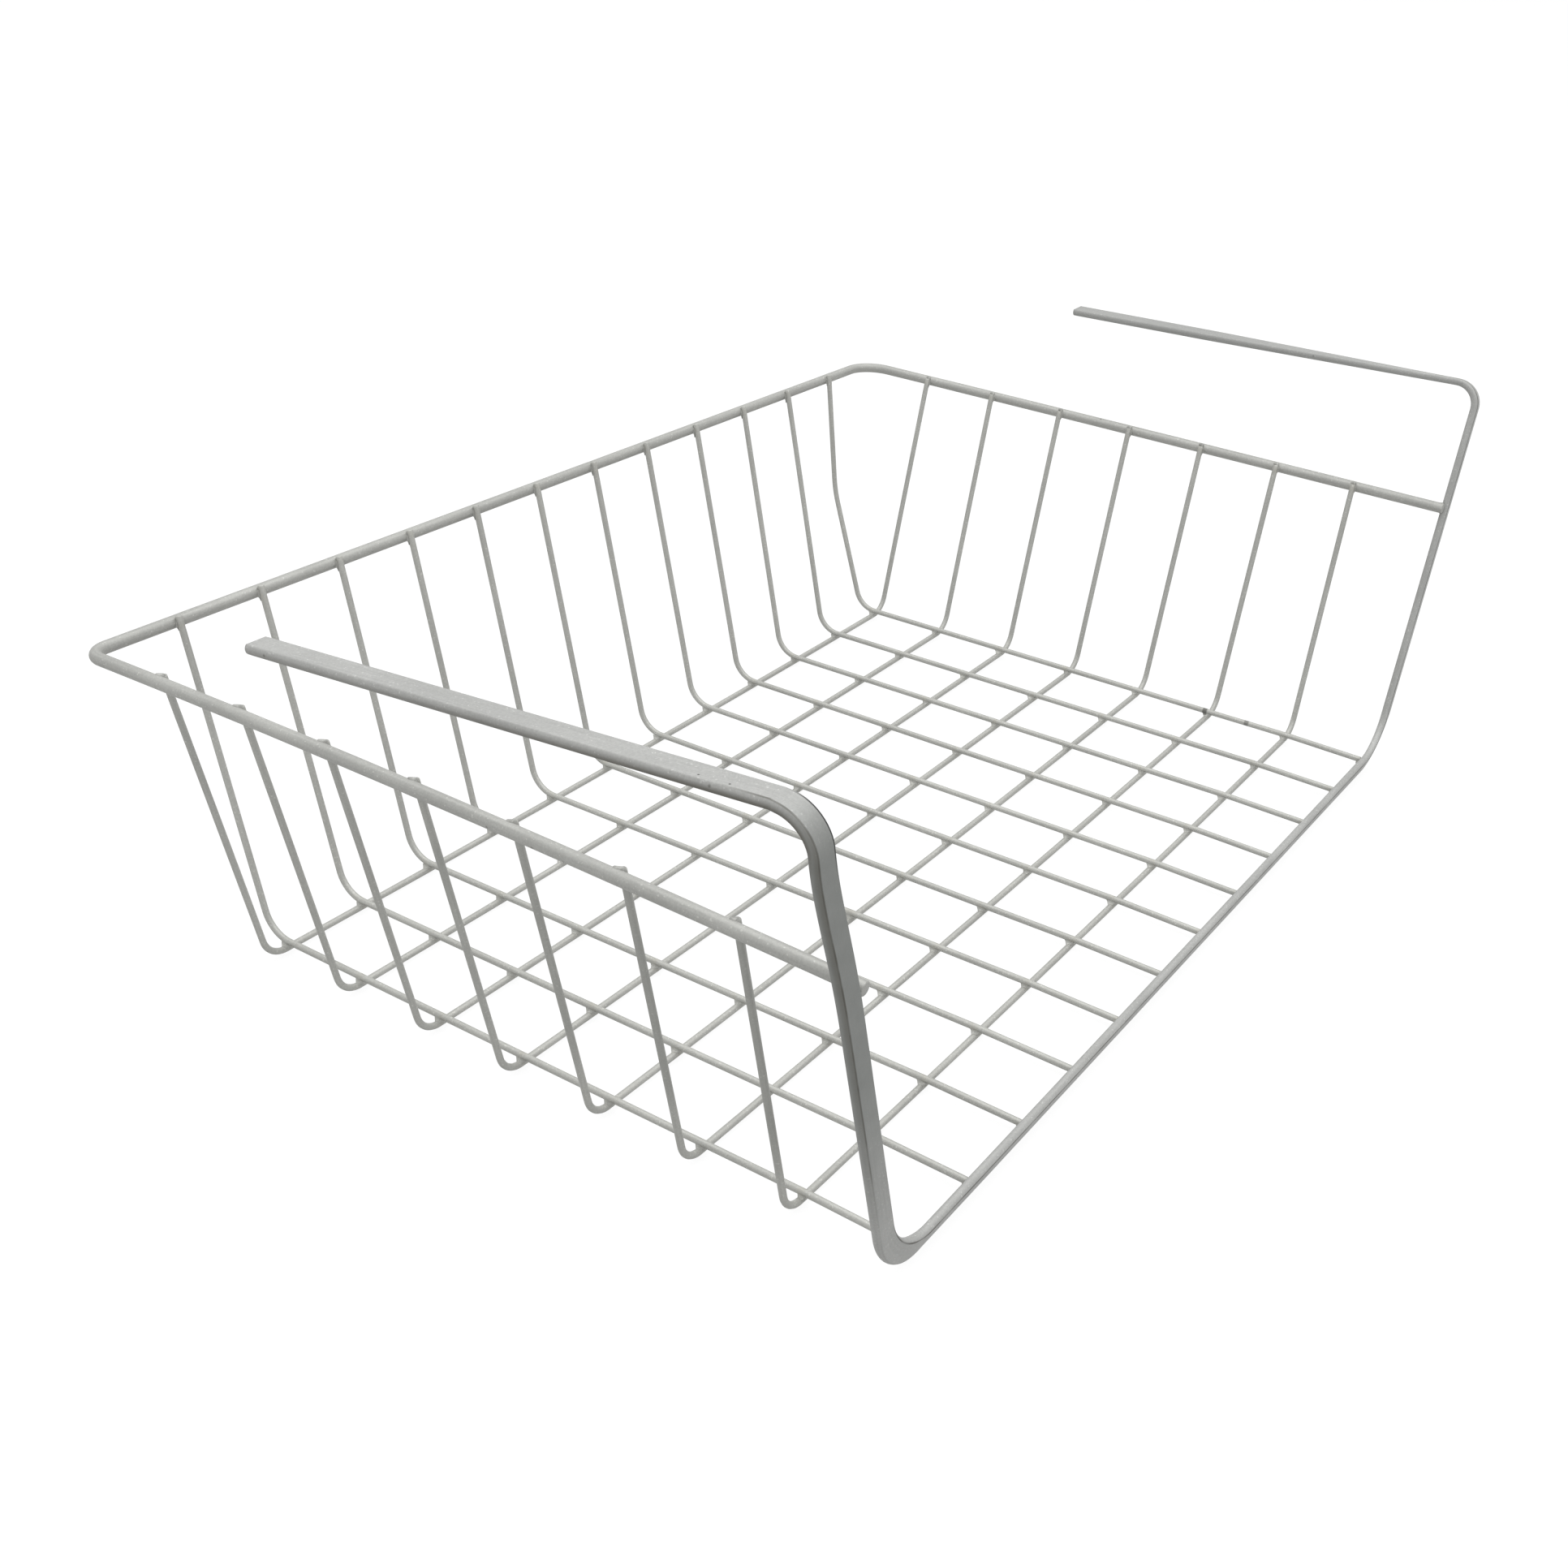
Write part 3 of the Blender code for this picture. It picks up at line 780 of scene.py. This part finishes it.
# On the side walls the weld also ran back over the tip, as a low drop that fades into the rod
drop_rows = 12
drop_sides = 12
drop_lead = 0.0010
drop_nose_share = 0.3
drop_least_radius = 0.0002
drop_radius = 0.0011
drop_thinning = 0.0007
drop_below_tip = 0.0006
drop_crest_inward = 0.0009
drop_crest_rise = 0.0014
drop_start_share = 0.35
for corners in cross_corners:
    for side, (seat, tip), _ in ((-1, *corners[0:2]), (1, *corners[:1:-1])):
        length = weld_chance.uniform(0.0019, 0.0026)
        rings = []
        for row in range(drop_rows):
            share = row / (drop_rows - 1)
            y = tip.y - drop_lead + length * share
            fatness = 1.0
            if share < drop_nose_share:
                fatness = math.sqrt(max(0.0, 1 - (1 - share / drop_nose_share) ** 2))
            radius = drop_least_radius + fatness * (drop_radius - drop_thinning * share)
            rod_middle = rim_side(side, y)
            crest_x = rod_middle.x - side * drop_crest_inward
            crest = Vector((crest_x, y, rod_middle.z + drop_crest_rise))
            start = Vector((tip.x, y, tip.z - drop_below_tip))
            middle = start.lerp(crest, min(1.0, drop_start_share + share))
            turns = [math.tau * step / drop_sides for step in range(drop_sides)]
            round_middle = [Vector((math.cos(turn), 0, math.sin(turn))) for turn in turns]
            rings.append([middle + way * radius for way in round_middle])
        loft(tip_mesh, rings, rings, [0.6] * drop_rows)
rim_welds = piece_of("rim_tip_welds", tip_mesh, rim_coat)
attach(rim_welds, "root")

# Welds of the sill. The front end of each floor wire butts against the back of the bar, in a low
# collar of weld that the coat has smoothed.
collar_rows = 6
collar_mesh = bmesh.new()
for index, (front, corner, _) in enumerate(floor_corners):
    front = front + front_dip(index, front.y)
    spread = weld_chance.uniform(0.0007, 0.0010)
    depth = weld_chance.uniform(0.0011, 0.0016)
    rings = []
    for row in range(collar_rows):
        share = row / (collar_rows - 1)
        back_off = depth * (1 - share) ** 2
        radius = wire / 2 - weld_sunk + (spread + weld_sunk) * share ** 2
        ring = []
        for step in range(weld_steps):
            angle = math.tau * step / weld_steps
            high = math.sin(angle) * radius
            slope = -high * math.tan(sill_lean) * share
            ring.append(front + Vector((math.cos(angle) * radius, back_off + slope, high)))
        rings.append(ring)
    loft(collar_mesh, rings, rings, [0.8] * collar_rows)
sill_welds = piece_of("sill_welds", collar_mesh, wire_coat)
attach(sill_welds, "root")

# Welds of the rim's ends. Each end of the rod is welded along the inner edge of its leg, where
# the bead stands proud above and below the rod.
end_weld_back = 0.0021
end_weld_front = 0.0010
end_weld_above = 0.0012
end_weld_below = 0.0030
end_weld_grips = (1.2, 1.2)


def end_reach(angle):
    """Reach of an end's weld, along the rod and then along the leg."""
    along_rod = end_weld_back if math.sin(angle) > 0 else end_weld_front
    along_leg = end_weld_above if math.cos(angle) > 0 else end_weld_below
    return along_rod, along_leg


end_mesh = bmesh.new()
for end, foot, elbow in ((rim_left_end, left_foot, left_elbow), (rim_right_end, right_foot, right_elbow)):
    leg = elbow - foot
    on_leg = foot + leg * ((end.z - foot.z) / leg.z)
    edge = on_leg + (end - on_leg).normalized() * (bar_width / 2 - bar_thickness / 2)
    edge.y = end.y + bar_thickness / 2
    on_rod = Vector((end.x, edge.y, end.z))
    weld_neck(end_mesh, on_rod, Vector((0, 1, 0)), rod / 2, edge, leg, bar_thickness / 2, end_reach,
              end_weld_grips)
end_welds = piece_of("rim_end_welds", end_mesh, rim_coat)
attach(end_welds, "root")

# Floor. A wide pale sheet that looks white to the camera and in gloss, and throws back no more
# light on the underside than a grey one would. It keeps a faint shadow of the basket.
floor_reach = 12.0
floor_gap = 0.0001
sheet_mesh = bmesh.new()
corner_places = []
for right, back in ((-1, -1), (1, -1), (1, 1), (-1, 1)):
    corner_places.append((right * floor_reach, back * floor_reach))
sheet_mesh.faces.new([sheet_mesh.verts.new((x, y, -floor_gap)) for x, y in corner_places])
sheet_data = bpy.data.meshes.new("floor_sheet")
sheet_mesh.to_mesh(sheet_data)
sheet_mesh.free()
floor_sheet = bpy.data.objects.new("floor_sheet", sheet_data)
bpy.context.scene.collection.objects.link(floor_sheet)


def seen_or_mirrored(tree):
    """1 for rays from the camera, from gloss and through glass, and 0 for the rest."""
    ray = node(tree, "LightPath")
    looked_at = calculate(tree, "MAXIMUM", ray.outputs["Is Camera Ray"], ray.outputs["Is Glossy Ray"])
    return calculate(tree, "MAXIMUM", looked_at, ray.outputs["Is Transmission Ray"])


paper = bpy.data.materials.new("white_paper")
paper.use_nodes = True
paper_tree = paper.node_tree
paper_tree.nodes.clear()
grey = node(paper_tree, "BsdfDiffuse")
grey.inputs["Color"].default_value = (0.36, 0.36, 0.355, 1)
shadowed = node(paper_tree, "BsdfDiffuse")
shadowed.inputs["Color"].default_value = (0.14, 0.14, 0.14, 1)
white = node(paper_tree, "Emission")
white.inputs["Strength"].default_value = 0.90
pale = node(paper_tree, "AddShader")
paper_tree.links.new(white.outputs[0], pale.inputs[0])
paper_tree.links.new(shadowed.outputs[0], pale.inputs[1])
either = node(paper_tree, "MixShader")
paper_tree.links.new(seen_or_mirrored(paper_tree), either.inputs["Fac"])
paper_tree.links.new(grey.outputs[0], either.inputs[1])
paper_tree.links.new(pale.outputs[0], either.inputs[2])
paper_out = node(paper_tree, "OutputMaterial")
paper_tree.links.new(either.outputs[0], paper_out.inputs["Surface"])
sheet_data.materials.append(paper)

# Light. A broad soft box overhead gives a soft shadow, and an even pale surround fills it in. The
# surround is white where it is looked at.
soft_box = bpy.data.lights.new("soft_box", "AREA")
soft_box.shape = "SQUARE"
soft_box.size = 2.6
soft_box.energy = 26.5
soft_box_lamp = bpy.data.objects.new("soft_box", soft_box)
soft_box_lamp.location = (0.1, -0.1, 1.9)
soft_box_lamp.rotation_euler = (Vector(soft_box_lamp.location)).to_track_quat("Z", "Y").to_euler()
bpy.context.scene.collection.objects.link(soft_box_lamp)

surround = bpy.data.worlds.new("pale_surround")
surround.use_nodes = True
surround_tree = surround.node_tree
sky = surround_tree.nodes["Background"]
sky.inputs["Color"].default_value = (1, 1, 1, 1)
sky_light = 0.70
sky_looked_at = seen_or_mirrored(surround_tree)
sky_strength = calculate(surround_tree, "MULTIPLY_ADD", sky_looked_at, 1 - sky_light, sky_light)
surround_tree.links.new(sky_strength, sky.inputs["Strength"])
bpy.context.scene.world = surround
bpy.context.scene.view_settings.view_transform = "Standard"

# Camera. It stands at the front left, a little over 0.6 m from the middle of the basket. It looks
# down on it, tipped a little to one side.
camera_data = bpy.data.cameras.new("camera")
camera_data.sensor_width = 36
camera_data.lens = 43.2
camera = bpy.data.objects.new("camera", camera_data)
camera.location = (-0.4949, -0.2922, 0.3254)
looking = Vector((0.742, 0.478, -0.470))
tipped = Quaternion((0, 0, 1), math.radians(3.1))
camera.rotation_euler = (looking.to_track_quat("-Z", "Y") @ tipped).to_euler()
bpy.context.scene.collection.objects.link(camera)
bpy.context.scene.camera = camera
